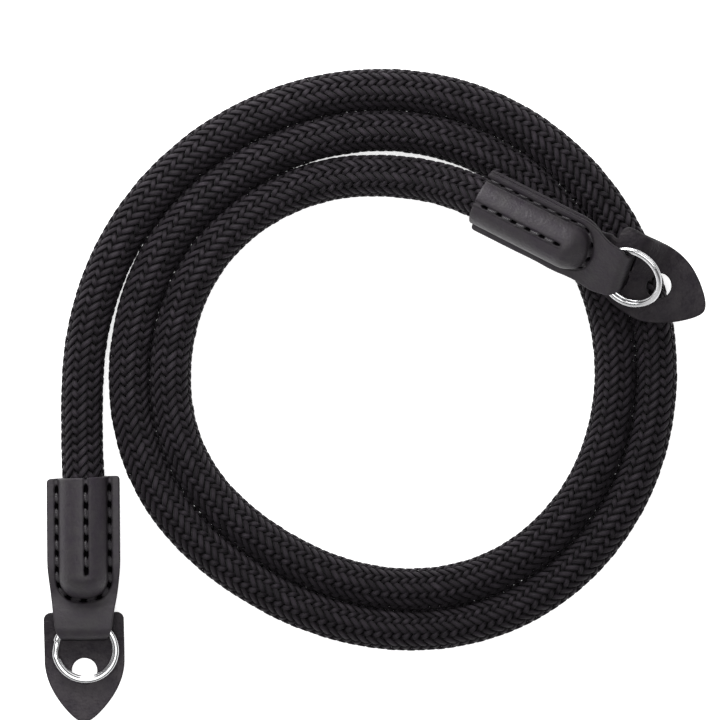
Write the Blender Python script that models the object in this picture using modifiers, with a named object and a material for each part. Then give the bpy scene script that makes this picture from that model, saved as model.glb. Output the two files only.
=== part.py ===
"""Coiled rope camera strap.

A braided rope lies on a table in two and a half flat turns. Each rope end is sewn into the same fitting:
a folded leather tab, a split ring in the tab's loop, and a leather guard held in the loop under the ring.

Metres, +Z up. The table is the plane z = 0. A fitting is modelled in a frame of its own, whose +X runs
from the rope's mouth to the guard's tip, with +Y to the left and z = 0 under the fitting where it lies flat.
"""

import math

import bpy
import numpy as np
from mathutils import Euler, Matrix, Vector

MM = 0.001
GAP = 0.3 * MM

# Rope
ROPE_DIAMETER = 9.8 * MM
ROPE_LAY = 5.2 * MM
ROPE_IN_SOCKET = 25.2 * MM
TURN_STEP = 10.2 * MM
TURN_COUNT = 3
STATION_STEP_DEG = 12.0

# Folded leather tab
TAB_LEATHER = 1.1 * MM
LAYER_GAP = 0.1 * MM
SOCKET_AXIS = 6.55 * MM
SOCKET_RADIUS = 5.4 * MM
SOCKET_STRAIGHT = 24.0 * MM
SOCKET_END = 30.9 * MM
SOCKET_END_POWER = 2.3
SEAM_DROP_START = 25.2 * MM
SEAM_DROP_END = 31.0 * MM
SEAM_DROP = 2.55 * MM
FLANGE_ROUNDING = 0.3 * MM
FOLD_TOP = 6.95 * MM
FOLD_BOTTOM = {"left": TAB_LEATHER / 2, "right": 1.85 * MM}
FOLD_END = 40.4 * MM
LOOP_START = 30.6 * MM
LOOP_OPEN_FRONT = 3.7 * MM
LOOP_OPEN_BACK = 2.9 * MM
LOOP_SHIFT = {"left": -0.1 * MM, "right": -1.5 * MM}
LOOP_SHIFT_START = 26.0 * MM
LOOP_SHIFT_END = 36.0 * MM

# Half-width of the tab's strip at places along it, from the mouth to the fold
STRIP_OUTLINE = (
    # along, half_width
    (0.0, 9.1),
    (22.5, 9.1),
    (28.2, 8.5),
    (33.7, 7.65),
    (36.7, 7.2),
)

# Half-width of the strip round its fold, from the top of the loop to half way down: the ring squeezes it
FOLD_OUTLINE = (
    # turn_deg, half_width
    (0.0, 7.2),
    (16.0, 6.9),
    (30.0, 6.2),
    (42.0, 5.1),
    (54.0, 4.55),
    (72.0, 4.7),
    (90.0, 4.9),
)

# Where the strip's surface is read: across the dome and its flanges, round the dome's end and in the loop
DOME_COLUMNS_DEG = (0, 15, 31, 46, 59, 70, 80)
FLANGE_COLUMNS = (6.2, 6.8, 7.8, 9.1)
DOME_END_STATIONS = (25.5, 26.8, 27.9, 28.8, 29.6, 30.3)
LOOP_STATIONS = (31.0, 31.8, 32.6, 33.4, 34.2, 35.2)

# Split ring
RING_OUTER_RADIUS = 8.35 * MM
RING_INNER_RADIUS = 6.7 * MM
RING_WIRE = 0.85 * MM
RING_WIRE_GAP = 0.1 * MM
RING_EDGE = 0.22 * MM
RING_CENTRE = {"left": (43.35 * MM, 0.1 * MM, 3.7 * MM), "right": (41.95 * MM, -1.95 * MM, 4.92 * MM)}
RING_TILT_DEG = {"left": 8.4, "right": 1.2}
RING_CUT_DEG = 162.0
RING_JOG_DEG = 14.0
RING_CUT_GAP_DEG = 3.0
RING_POINTS_PER_TURN = 36

# Guard
GUARD_LEATHER = 1.3 * MM
GUARD_START = {"left": 33.9 * MM, "right": 34.9 * MM}
GUARD_LIFT = {"left": 2.01 * MM, "right": 2.65 * MM}
GUARD_SHIFT = {"left": -0.6 * MM, "right": -1.6 * MM}
GUARD_LENGTH = 27.9 * MM
GUARD_HALF_WIDTH = 9.95 * MM
GUARD_CORNER = 1.8 * MM
GUARD_SHOULDER = 12.1 * MM
GUARD_SLOT = (2.9 * MM, 6.4 * MM)
GUARD_SLOT_HALF_WIDTH = 7.3 * MM
GUARD_HOLE_AT = 14.9 * MM
GUARD_HOLE_RADIUS = 3.35 * MM
HOLE_SIDES = 32
CUTTER_DEPTH = 8 * MM

# How each guard runs on from its top edge: up or down, its left side up, and its swing to the left
GUARD_BEND = {
    "left": (
        # along, climb_deg, roll_deg, swing_deg
        (0.0, -2.0, 0.0, 0.4),
        (3.0, -8.0, 0.0, 0.4),
        (8.0, -14.0, 0.0, 0.4),
        (12.0, -5.0, 0.0, 0.4),
        (15.0, 0.0, 0.0, 0.4),
        (28.0, 0.0, 0.0, 0.4),
    ),
    "right": (
        # along, climb_deg, roll_deg, swing_deg
        (0.0, 12.5, 40.0, 0.0),
        (2.5, 10.5, 40.0, 0.0),
        (5.5, -18.0, 39.0, 0.5),
        (8.0, -32.0, 32.0, 1.5),
        (11.0, -29.0, 18.0, 2.5),
        (14.0, -11.0, 5.0, 3.0),
        (17.0, 0.0, 0.0, 3.0),
        (28.0, 0.0, 0.0, 3.0),
    ),
}

# The coil's middle, and where each rope end enters its leather, counted from the coil's middle
COIL_MIDDLE = (-0.26 * MM, 22.5 * MM)
LEFT_MOUTH = (-72.1 * MM, -30.0 * MM, SOCKET_AXIS)
LEFT_HEADING_DEG = -89.6
RIGHT_MOUTH = (27.1 * MM, 39.2 * MM, 12.85 * MM)
RIGHT_HEADING_DEG = -27.5
RIGHT_CLIMB_DEG = 12.5
RIGHT_ROLL_DEG = 40.0

# The rope's way from the left leather into the coil
LEAD_IN = (
    # bearing_deg, radius, height
    (197.0, 75.7, 5.5),
    (190.0, 73.6, 5.2),
    (180.0, 71.9, 5.2),
)

# The first turn of the coil, clockwise from above; each later turn lies inside the one before it
FIRST_TURN = (
    # bearing_deg, radius
    (150.0, 68.6),
    (120.0, 66.6),
    (90.0, 66.8),
    (60.0, 68.2),
    (30.0, 69.3),
    (0.0, 70.9),
    (-30.0, 72.7),
    (-60.0, 72.0),
    (-90.0, 67.4),
    (-120.0, 63.5),
    (-150.0, 62.8),
    (-180.0, 60.4),
)
LAST_NESTED_BEARING = -600.0

# The rope's way up from the innermost turn to the right leather
LEAD_OUT = (
    # bearing_deg, radius, height
    (-618.0, 45.5, 5.5),
    (-630.0, 45.3, 6.3),
    (-640.0, 45.5, 7.4),
    (-652.0, 46.4, 9.2),
)

STRAP = bpy.data.collections.new("coiled_camera_strap")
CUTTERS = bpy.data.collections.new("cutters")


def clear_scene():
    """Removes what the new file holds and adds the two collections."""
    for item in list(bpy.data.objects):
        bpy.data.objects.remove(item, do_unlink=True)
    bpy.context.scene.collection.children.link(STRAP)
    bpy.context.scene.collection.children.link(CUTTERS)


def material(name, colour, roughness, metallic=0.0):
    """A Principled material."""
    made = bpy.data.materials.new(name)
    made.use_nodes = True
    shader = made.node_tree.nodes["Principled BSDF"]
    shader.inputs["Base Color"].default_value = (*colour, 1.0)
    shader.inputs["Roughness"].default_value = roughness
    shader.inputs["Metallic"].default_value = metallic
    return made


def place(name, data, parent=None, collection=STRAP):
    """Puts mesh or curve data into the scene as a named object, under a parent's frame."""
    made = bpy.data.objects.new(name, data)
    collection.objects.link(made)
    made.parent = parent
    return made


def as_cutter(made):
    """Keeps a cutter or guide out of renders and out of the model."""
    made.hide_render = True
    made.display_type = "WIRE"
    return made


def smooth_step(x):
    """0 below 0, 1 above 1, and level at both ends."""
    x = np.clip(x, 0.0, 1.0)
    return x * x * (3.0 - 2.0 * x)


def natural_spline(rows, at):
    """Natural cubic spline of every later column over the first column, read at the places in at."""
    rows = np.asarray(sorted(rows), float)
    x, y = rows[:, 0], rows[:, 1:]
    step = np.diff(x)
    slope = np.diff(y, axis=0) / step[:, None]
    bend = np.zeros_like(y)
    system = np.diag(2.0 * (step[:-1] + step[1:])) + np.diag(step[1:-1], 1) + np.diag(step[1:-1], -1)
    bend[1:-1] = np.linalg.solve(system, 6.0 * np.diff(slope, axis=0))
    k = np.clip(np.searchsorted(x, at, side="right") - 1, 0, len(step) - 1)
    h = step[k][:, None]
    after = (at - x[k])[:, None]
    before = (x[k + 1] - at)[:, None]
    cubic = (bend[k] * before**3 + bend[k + 1] * after**3) / (6.0 * h)
    line_before = (y[k] / h - bend[k] * h / 6.0) * before
    line_after = (y[k + 1] / h - bend[k + 1] * h / 6.0) * after
    return cubic + line_before + line_after


def sheet_mesh(name, points):
    """An open mesh over a grid of points: rows, columns, xyz."""
    rows, columns = points.shape[:2]
    index = np.arange(rows * columns).reshape(rows, columns)
    quads = np.stack([index[:-1, :-1], index[1:, :-1], index[1:, 1:], index[:-1, 1:]], axis=-1)
    mesh = bpy.data.meshes.new(name)
    mesh.from_pydata(points.reshape(-1, 3).tolist(), [], quads.reshape(-1, 4).tolist())
    mesh.update()
    return mesh


def thicken(made, thickness):
    """Gives an open surface a wall, half to each side."""
    wall = made.modifiers.new("wall", "SOLIDIFY")
    wall.thickness = thickness
    wall.offset = 0.0
    return made


def fitting_frame(name, mouth, heading_deg, climb_deg=0.0, roll_deg=0.0):
    """An empty whose frame holds one end fitting, with the socket's axis at the rope's mouth."""
    turn = Euler([math.radians(roll_deg), -math.radians(climb_deg), math.radians(heading_deg)])
    made = place(name, None)
    made.rotation_euler = turn
    centre = Vector((COIL_MIDDLE[0], COIL_MIDDLE[1], 0.0)) + Vector(mouth)
    made.location = centre - turn.to_matrix() @ Vector((0.0, 0.0, SOCKET_AXIS))
    return made


def frame_matrix(made):
    """The world matrix of an unparented empty."""
    return Matrix.LocRotScale(made.location, made.rotation_euler, None)


def dome_height(along, across):
    """Height of the domed leather's middle over the seam plane.

    A circle about the rope, which closes like a thumb past the straight socket, and a flat flange round it.
    """
    radius = SOCKET_RADIUS + TAB_LEATHER / 2
    past = np.clip(along - SOCKET_STRAIGHT, 0.0, None) * radius / (SOCKET_END - GAP - SOCKET_STRAIGHT)
    off_axis = (np.abs(across) ** SOCKET_END_POWER + past**SOCKET_END_POWER) ** (1.0 / SOCKET_END_POWER)
    circle = np.sqrt(np.clip(radius**2 - off_axis**2, 0.0, None))
    flange = (TAB_LEATHER + LAYER_GAP) / 2
    return (circle + flange + np.sqrt((circle - flange) ** 2 + FLANGE_ROUNDING**2)) / 2


def tab_layer(side, face, along, across):
    """Height of the front (face 1) or back (face -1) layer's middle, from the mouth to the fold."""
    dropped = smooth_step((along - SEAM_DROP_START) / (SEAM_DROP_END - SEAM_DROP_START))
    seam_plane = SOCKET_AXIS - SEAM_DROP * dropped
    sewn = seam_plane + face * dome_height(along, across)
    opened = FOLD_TOP if face > 0 else FOLD_BOTTOM[side]
    reach = LOOP_OPEN_FRONT if face > 0 else LOOP_OPEN_BACK
    return sewn + (opened - sewn) * smooth_step((along - LOOP_START) / reach)


def loop_shift(side, along):
    """How far the loop's leather leans to the left of the socket's axis."""
    reach = LOOP_SHIFT_END - LOOP_SHIFT_START
    return LOOP_SHIFT[side] * smooth_step((along - LOOP_SHIFT_START) / reach)


def tab_surface(side):
    """The middle surface of the folded strip, as a grid: front layer, fold, back layer."""
    radius = SOCKET_RADIUS + TAB_LEATHER / 2
    half = np.r_[np.sin(np.radians(DOME_COLUMNS_DEG)) * radius, np.array(FLANGE_COLUMNS) * MM]
    columns = np.r_[-half[:0:-1], half] / half[-1]
    front = np.r_[np.linspace(0.0, 24.0, 6), DOME_END_STATIONS, LOOP_STATIONS] * MM
    outline = np.asarray(STRIP_OUTLINE) * MM
    half_width = np.interp(front, outline[:, 0], outline[:, 1])
    across = half_width[:, None] * columns
    along = np.repeat(front[:, None], len(columns), axis=1)
    shifted = across + loop_shift(side, along)
    layer = {}
    for face in (1, -1):
        layer[face] = np.stack([along, shifted, tab_layer(side, face, along, across)], axis=-1)
    middle = (FOLD_TOP + FOLD_BOTTOM[side]) / 2
    radius = (FOLD_TOP - FOLD_BOTTOM[side]) / 2
    start = FOLD_END - TAB_LEATHER / 2 - radius
    outline = np.asarray(FOLD_OUTLINE)
    turn = np.radians(np.r_[outline[:, 0], 180.0 - outline[-2::-1, 0]])
    half_width = np.r_[outline[:, 1], outline[-2::-1, 1]] * MM
    fold = np.stack(
        [
            np.repeat((start + radius * np.sin(turn))[:, None], len(columns), axis=1),
            half_width[:, None] * columns + LOOP_SHIFT[side],
            np.repeat((middle + radius * np.cos(turn))[:, None], len(columns), axis=1),
        ],
        axis=-1,
    )
    return np.concatenate([layer[1], fold, layer[-1][::-1]])


def make_tab(side, frame, leather):
    """One tab: a single strip of leather, domed round the rope on both faces and folded into a loop."""
    made = place(f"tab_{side}", sheet_mesh("tab", tab_surface(side)), frame)
    made.data.materials.append(leather)
    return thicken(made, TAB_LEATHER)


def guard_spine(side, along):
    """Places and directions along a bent guard: its middle line, its left and its upward normal.

    They are in the guard's own frame, which starts at its top edge, stands level and heads as its fitting.
    """
    bend = np.asarray(GUARD_BEND[side])
    fine = np.linspace(0.0, GUARD_LENGTH, 400)
    angles = [np.interp(fine, bend[:, 0] * MM, bend[:, k]) for k in (1, 2, 3)]
    climb, roll, swing = np.radians(angles)[..., None]
    flat = np.hstack([np.cos(swing), np.sin(swing), 0 * swing])
    left = np.hstack([-np.sin(swing), np.cos(swing), 0 * swing])
    top = np.array([0.0, 0.0, 1.0])
    ahead = flat * np.cos(climb) + top * np.sin(climb)
    across = left * np.cos(roll) + np.cross(ahead, left) * np.sin(roll)
    line = np.cumsum(ahead, axis=0) * (fine[1] - fine[0])
    fields = np.hstack([line, ahead, across])
    read = np.stack([np.interp(along, fine, column) for column in fields.T], axis=-1)
    line, ahead, across = np.split(read, 3, axis=1)
    up = np.cross(ahead, across)
    return line, across / np.linalg.norm(across, axis=1)[:, None], up / np.linalg.norm(up, axis=1)[:, None]


def guard_half_width(along):
    """Half-width of the spade: rounded top corners, straight sides, and sides that curve in to the tip."""
    past = np.clip((along - GUARD_SHOULDER) / (GUARD_LENGTH - GUARD_SHOULDER), 0.0, 1.0)
    spade = GUARD_HALF_WIDTH * (1.0 - past**1.8) ** 0.85
    short = np.clip(GUARD_CORNER - along, 0.0, GUARD_CORNER)
    return spade - GUARD_CORNER + np.sqrt(GUARD_CORNER**2 - short**2)


def guard_surface(side):
    """The middle surface of a guard, as a grid from its top edge to its tip."""
    corner = GUARD_CORNER * (1.0 - np.cos(np.radians((0, 30, 60, 90))))
    straight = np.linspace(GUARD_CORNER, GUARD_SHOULDER, 7)[1:]
    reach = GUARD_LENGTH - GUARD_SHOULDER
    spade = GUARD_SHOULDER + reach * np.sin(np.radians((12, 24, 36, 48, 60, 72, 82)))
    along = np.r_[corner, straight, spade]
    line, across, _ = guard_spine(side, along)
    columns = np.linspace(-1.0, 1.0, 9)
    offset = guard_half_width(along)[:, None] * columns
    return line[:, None] + offset[..., None] * across[:, None]


def cut(made, cutter):
    """Cuts one object by another, with the exact solver."""
    step = made.modifiers.new(cutter.name, "BOOLEAN")
    step.operation = "DIFFERENCE"
    step.solver = "EXACT"
    step.object = cutter


def standing_on_guard(side, along):
    """The frame on a guard at a distance from its top edge, with z along the leather's normal."""
    line, across, up = guard_spine(side, np.array([along]))
    ahead = np.cross(across[0], up[0])
    axes = Matrix((ahead, across[0], up[0])).transposed().to_4x4()
    return Matrix.Translation(line[0]) @ axes


def make_guard(side, frame, leather):
    """One guard: a spade of leather with a slit for the tab's fold and a round hole."""
    made = place(f"guard_{side}", sheet_mesh("guard", guard_surface(side)))
    start = Vector((GUARD_START[side], GUARD_SHIFT[side], GUARD_LIFT[side] + GUARD_LEATHER / 2))
    made.location = frame_matrix(frame) @ start
    made.rotation_euler = (0.0, 0.0, frame.rotation_euler.z)
    made.data.materials.append(leather)
    thicken(made, GUARD_LEATHER)

    bpy.ops.mesh.primitive_cylinder_add(
        vertices=HOLE_SIDES, radius=GUARD_HOLE_RADIUS, depth=CUTTER_DEPTH
    )
    hole = bpy.context.object
    hole.data.transform(standing_on_guard(side, GUARD_HOLE_AT))
    bpy.ops.mesh.primitive_cube_add(size=1.0)
    slit = bpy.context.object
    slit_length = GUARD_SLOT[1] - GUARD_SLOT[0]
    slit.data.transform(Matrix.Diagonal((slit_length, 2 * GUARD_SLOT_HALF_WIDTH, CUTTER_DEPTH, 1.0)))
    slit.data.transform(Matrix.Translation((sum(GUARD_SLOT) / 2, 0.0, 0.0)))
    slit.data.transform(standing_on_guard(side, 0.0))
    for name, cutter in (("hole", hole), ("slit", slit)):
        cutter.name = f"{name}_{side}"
        for home in list(cutter.users_collection):
            home.objects.unlink(cutter)
        CUTTERS.objects.link(as_cutter(cutter))
        cutter.parent = made
        cut(made, cutter)
    return made


def ring_section():
    """The rounded oblong section of the ring's flat wire, as a closed guide curve."""
    half_width = (RING_OUTER_RADIUS - RING_INNER_RADIUS) / 2
    half_height = RING_WIRE / 2
    corners = []
    for sx, sz in ((1, 1), (1, -1), (-1, -1), (-1, 1)):
        on_face = (sx * (half_width - RING_EDGE), sz * half_height)
        on_side = (sx * half_width, sz * (half_height - RING_EDGE))
        corners += [on_face, on_side] if sx * sz > 0 else [on_side, on_face]
    outline = bpy.data.curves.new("ring_section", "CURVE")
    spline = outline.splines.new("POLY")
    spline.points.add(len(corners) - 1)
    for point, (x, z) in zip(spline.points, corners):
        point.co = (x, z, 0.0, 1.0)
    spline.use_cyclic_u = True
    return as_cutter(place("ring_section", outline, collection=CUTTERS))


def ring_path():
    """The middle line of the ring's wire: two flat coils joined by a short jog past the cut ends."""
    cut_gap = math.radians(RING_CUT_GAP_DEG)
    jog = math.radians(RING_JOG_DEG)
    ends = (jog + cut_gap, 4 * math.pi - jog - cut_gap)
    turn = np.linspace(*ends, 2 * RING_POINTS_PER_TURN)
    level = (RING_WIRE + RING_WIRE_GAP) / 2
    height = level * (2.0 * smooth_step((turn - (2 * math.pi - jog)) / (2 * jog)) - 1.0)
    radius = (RING_OUTER_RADIUS + RING_INNER_RADIUS) / 2
    turn = turn + math.radians(RING_CUT_DEG)
    return np.stack([radius * np.cos(turn), radius * np.sin(turn), height], axis=-1)


def make_ring(side, frame, section, steel):
    """One split ring, with its origin at its centre and its axis along its own z."""
    wire = bpy.data.curves.new(f"ring_{side}", "CURVE")
    wire.dimensions = "3D"
    wire.twist_mode = "Z_UP"
    wire.bevel_mode = "OBJECT"
    wire.bevel_object = section
    wire.use_fill_caps = True
    points = ring_path()
    spline = wire.splines.new("POLY")
    spline.points.add(len(points) - 1)
    for point, place_at in zip(spline.points, points):
        point.co = (*place_at, 1.0)
    made = place(f"ring_{side}", wire, frame)
    made.location = RING_CENTRE[side]
    made.rotation_euler = (0.0, math.radians(RING_TILT_DEG[side]), 0.0)
    wire.materials.append(steel)
    return made


def socket_rows(frame):
    """Bearing, radius and height of the rope's straight end in its socket, from the mouth inwards."""
    middle = Vector((COIL_MIDDLE[0], COIL_MIDDLE[1], 0.0))
    rows = []
    for share in np.linspace(0.0, 1.0, 4):
        point = frame_matrix(frame) @ Vector((share * ROPE_IN_SOCKET, 0.0, SOCKET_AXIS)) - middle
        rows.append((math.degrees(math.atan2(point.y, point.x)), math.hypot(point.x, point.y), point.z))
    return rows


def rope_rows(left, right):
    """The rope's route as bearing (falling all the way), radius and height about the coil's middle."""
    rows = [(bearing + 360.0, radius, height) for bearing, radius, height in socket_rows(left)[::-1]]
    rows += [(bearing, radius * MM, height * MM) for bearing, radius, height in LEAD_IN]
    for turn in range(TURN_COUNT):
        for bearing, radius in FIRST_TURN:
            if bearing - 360.0 * turn >= LAST_NESTED_BEARING:
                rows.append((bearing - 360.0 * turn, radius * MM - turn * TURN_STEP, ROPE_LAY))
    rows += [(bearing, radius * MM, height * MM) for bearing, radius, height in LEAD_OUT]
    rows += [(bearing - 720.0, radius, height) for bearing, radius, height in socket_rows(right)]
    return rows


def rope_points(left, right):
    """Points along the rope's middle line, at even bearings so that neighbouring turns run parallel."""
    rows = np.asarray(rope_rows(left, right))
    bearing = np.arange(rows[0, 0], rows[-1, 0] + STATION_STEP_DEG / 3, -STATION_STEP_DEG)
    bearing = np.r_[bearing, rows[-1, 0]]
    radius, height = natural_spline(rows.tolist(), bearing).T
    turn = np.radians(bearing)
    return np.stack(
        [COIL_MIDDLE[0] + radius * np.cos(turn), COIL_MIDDLE[1] + radius * np.sin(turn), height], axis=-1
    )


def make_rope(left, right, braid):
    """The rope as one plain tube along its whole route."""
    route = bpy.data.curves.new("rope", "CURVE")
    route.dimensions = "3D"
    route.twist_mode = "Z_UP"
    route.bevel_depth = ROPE_DIAMETER / 2
    route.bevel_resolution = 4
    route.use_fill_caps = True
    points = rope_points(left, right)
    spline = route.splines.new("POLY")
    spline.points.add(len(points) - 1)
    for point, place_at in zip(spline.points, points):
        point.co = (*place_at, 1.0)
    route.materials.append(braid)
    length = np.linalg.norm(np.diff(points, axis=0), axis=1).sum()
    print(f"rope: {len(points)} points, {length:.4f} m")
    return place("rope", route)


def main():
    """Builds the strap."""
    clear_scene()
    leather = material("black_leather", (0.035, 0.032, 0.036), 0.5)
    braid = material("black_braid", (0.012, 0.011, 0.012), 0.75)
    steel = material("ring_steel", (0.75, 0.75, 0.76), 0.18, 1.0)
    left = fitting_frame("left_fitting", LEFT_MOUTH, LEFT_HEADING_DEG)
    right = fitting_frame("right_fitting", RIGHT_MOUTH, RIGHT_HEADING_DEG, RIGHT_CLIMB_DEG, RIGHT_ROLL_DEG)
    section = ring_section()
    for side, frame in (("left", left), ("right", right)):
        make_tab(side, frame, leather)
        make_ring(side, frame, section, steel)
        make_guard(side, frame, leather)
    make_rope(left, right, braid)


main()
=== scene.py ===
# %% [markdown]
# # A coiled rope camera strap
#
# The strap is a thick black braided rope, lying on a table in two and a half turns. Each rope end is sewn
# into a folded leather tab. The tab's loop holds a split ring and a spade of leather that lies under it.
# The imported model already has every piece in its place. This lesson loads it as a fixed frame and gives each
# piece its real surface: the braid strand by strand, the leather with its seams, and the steel.

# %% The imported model
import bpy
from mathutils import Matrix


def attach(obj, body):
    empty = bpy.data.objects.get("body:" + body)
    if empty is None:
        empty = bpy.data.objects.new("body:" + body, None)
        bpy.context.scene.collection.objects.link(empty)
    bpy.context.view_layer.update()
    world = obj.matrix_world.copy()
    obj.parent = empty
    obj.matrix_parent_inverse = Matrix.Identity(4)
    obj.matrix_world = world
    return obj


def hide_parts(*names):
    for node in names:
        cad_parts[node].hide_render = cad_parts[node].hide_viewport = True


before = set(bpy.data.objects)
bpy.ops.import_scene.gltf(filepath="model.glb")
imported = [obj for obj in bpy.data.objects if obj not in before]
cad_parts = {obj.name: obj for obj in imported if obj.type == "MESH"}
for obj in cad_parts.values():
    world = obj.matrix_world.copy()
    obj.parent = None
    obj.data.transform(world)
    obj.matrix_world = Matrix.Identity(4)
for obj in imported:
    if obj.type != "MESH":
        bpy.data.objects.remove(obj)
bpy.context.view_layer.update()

# %% Tools for the whole lesson
import math

import bpy
import numpy as np
from mathutils import Vector

MM = 0.001
chance = np.random.default_rng(11)
print("shapes are worked out in millimetres, and a millimetre is", MM, "of Blender's metres")

# %% [markdown]
# ## Camera
#
# The strap is seen straight from above, from about a metre away. A long lens keeps the table's picture flat,
# so the camera is a 199 mm lens at one metre, over a point a little above and to the left of the middle.

# %% Camera
VIEW_HEIGHT = 1000.0
VIEW_MIDDLE = (-3.26, 21.75)
camera = bpy.data.objects.new("camera", bpy.data.cameras.new("camera"))
camera.location = (VIEW_MIDDLE[0] * MM, VIEW_MIDDLE[1] * MM, VIEW_HEIGHT * MM)
camera.data.lens = 199.0
camera.data.sensor_width = 36.0
camera.data.clip_start = 0.01
bpy.context.scene.collection.objects.link(camera)
bpy.context.scene.camera = camera
print("camera: straight down from", camera.location.z, "m")


# %% [markdown]
# ## Small rules of shape
#
# Leather and rope change gently from one measure to the next. A few rules do all of it here: a step with
# level ends, a bell, a power that keeps its sign, which squares off a circle, and a natural cubic spline
# through a short table, which is how a thin wooden batten lies between its weights.

# %% Steps, bells and battens
def smooth_step(x):
    """0 below 0, 1 above 1, and 3x^2 - 2x^3 between them."""
    x = np.clip(x, 0.0, 1.0)
    return x * x * (3.0 - 2.0 * x)


def bell(x):
    """1 at 0 and falling off on both sides as e to the minus x squared."""
    return np.exp(-np.square(x))


def signed_power(x, power):
    """The size of x raised to a power, with the sign of x."""
    return np.sign(x) * np.abs(x) ** power


def natural_spline(rows, at):
    """Natural cubic spline of every later column over the first column, read at the places in at.

    Each stretch is a cubic. The bends at its ends solve one linear system, with no bend at the two ends.
    """
    rows = np.array(sorted(map(tuple, rows)))
    x, y = rows[:, 0], rows[:, 1:]
    step = np.diff(x)
    slope = np.diff(y, axis=0) / step[:, None]
    bend = np.zeros_like(y)
    system = np.diag(2.0 * (step[:-1] + step[1:])) + np.diag(step[1:-1], 1) + np.diag(step[1:-1], -1)
    bend[1:-1] = np.linalg.solve(system, 6.0 * np.diff(slope, axis=0))
    k = np.clip(np.searchsorted(x, at, side="right") - 1, 0, len(step) - 1)
    h = step[k][:, None]
    after = (at - x[k])[:, None]
    before = (x[k + 1] - at)[:, None]
    cubic = (bend[k] * before**3 + bend[k + 1] * after**3) / (6.0 * h)
    return cubic + (y[k] / h - bend[k] * h / 6.0) * before + (y[k + 1] / h - bend[k + 1] * h / 6.0) * after


def soft_table(rows, at, blur):
    """A table's second column read along its first, averaged over a window so that its corners are rounded."""
    rows = np.asarray(rows, float)
    window = np.linspace(-blur, blur, 9)
    return np.mean([np.interp(at + shift, rows[:, 0], rows[:, 1]) for shift in window], axis=0)


def spread(start, end, wanted_step, count):
    """Places from start to end, closer together where wanted_step is smaller.

    The places are even in the running sum of 1 over the wanted step.
    """
    fine = np.linspace(start, end, 4001)
    walked = np.cumsum(1.0 / wanted_step(fine))
    return np.interp(np.linspace(walked[0], walked[-1], count), walked, fine)


print("half way up a step:", smooth_step(0.5))


# %% [markdown]
# ## From arrays to meshes
#
# Every piece is a grid of points worked out as whole arrays. One helper numbers the faces over a grid, and
# another does it for tubes with closed ends. The next makes the mesh, and turns it inside out if its enclosed
# volume comes out negative. The last makes the object: its place is in its mesh, it rides on a body of the
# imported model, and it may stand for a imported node.

# %% Faces over a grid
def grid_faces(rows, columns, wrap_rows=False, wrap_columns=False):
    """Corner numbers of the faces between neighbouring rows and columns; a wrapped direction closes on itself."""
    index = np.arange(rows * columns).reshape(rows, columns)
    if wrap_rows:
        index = np.vstack([index, index[:1]])
    if wrap_columns:
        index = np.hstack([index, index[:, :1]])
    return np.stack([index[:-1, :-1], index[1:, :-1], index[1:, 1:], index[:-1, 1:]], axis=-1).reshape(-1, 4)


def tube_faces(rings, corners, tubes=1):
    """Faces of closed tubes, one after another: those between neighbouring rings, and one over each end."""
    sides = grid_faces(rings, corners, wrap_columns=True)
    ends = np.array([np.arange(corners), (rings - 1) * corners + np.arange(corners)[::-1]])
    shift = (np.arange(tubes) * rings * corners)[:, None, None]
    return [(sides[None] + shift).reshape(-1, 4), (ends[None] + shift).reshape(-1, corners)]


def enclosed_volume(points, faces):
    """Volume inside a closed mesh: the sum of the pyramids from the origin to each face."""
    total = 0.0
    for corners in faces:
        first = points[corners[:, 0]]
        for k in range(1, corners.shape[1] - 1):
            across = np.cross(points[corners[:, k]], points[corners[:, k + 1]])
            total += np.einsum("ij,ij->i", first, across).sum() / 6.0
    return total


print("a tube of 3 rings of 4 points:", [len(corners) for corners in tube_faces(3, 4)], "faces on its side and ends")


# %% A piece of the strap
def make_mesh(name, points, faces, finish, fields=None):
    """A smooth mesh from points in millimetres and arrays of faces, with its faces pointing out."""
    volume = enclosed_volume(points - points.mean(axis=0), faces)
    if volume < 0.0:
        faces = [corners[:, ::-1] for corners in faces]
    sizes = np.concatenate([np.full(len(corners), corners.shape[1]) for corners in faces])
    loops = np.concatenate([corners.ravel() for corners in faces]).astype(np.int32)
    mesh = bpy.data.meshes.new(name)
    mesh.vertices.add(len(points))
    mesh.vertices.foreach_set("co", np.ascontiguousarray(points * MM, np.float32).ravel())
    mesh.loops.add(len(loops))
    mesh.loops.foreach_set("vertex_index", loops)
    mesh.polygons.add(len(sizes))
    mesh.polygons.foreach_set("loop_start", (np.cumsum(sizes) - sizes).astype(np.int32))
    for field, values in (fields or {}).items():
        kind, key = ("FLOAT_VECTOR", "vector") if values.ndim == 2 else ("FLOAT", "value")
        made = mesh.attributes.new(field, kind, "POINT")
        made.data.foreach_set(key, np.ascontiguousarray(values, np.float32).ravel())
    mesh.update(calc_edges=True)
    mesh.validate()
    mesh.shade_smooth()
    mesh.materials.append(finish)
    print(f"{name}: {int((sizes - 2).sum())} triangles, {abs(volume) / 1000.0:.3f} cm3")
    return mesh


def make_piece(name, mesh, body, stands_for=()):
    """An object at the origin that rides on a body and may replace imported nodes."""
    made = bpy.data.objects.new(name, mesh)
    bpy.context.scene.collection.objects.link(made)
    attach(made, body)
    if stands_for:
        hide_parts(*stands_for)
    return made


# %% [markdown]
# ## Materials from nodes
#
# The finishes are drawn by small networks of nodes. A few helpers keep them readable: one makes the shader
# that a network ends in, one adds a node with its settings, one does arithmetic on two values, and the others
# multiply, stretch a value over a range, mix two colours and roughen the surface.

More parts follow.
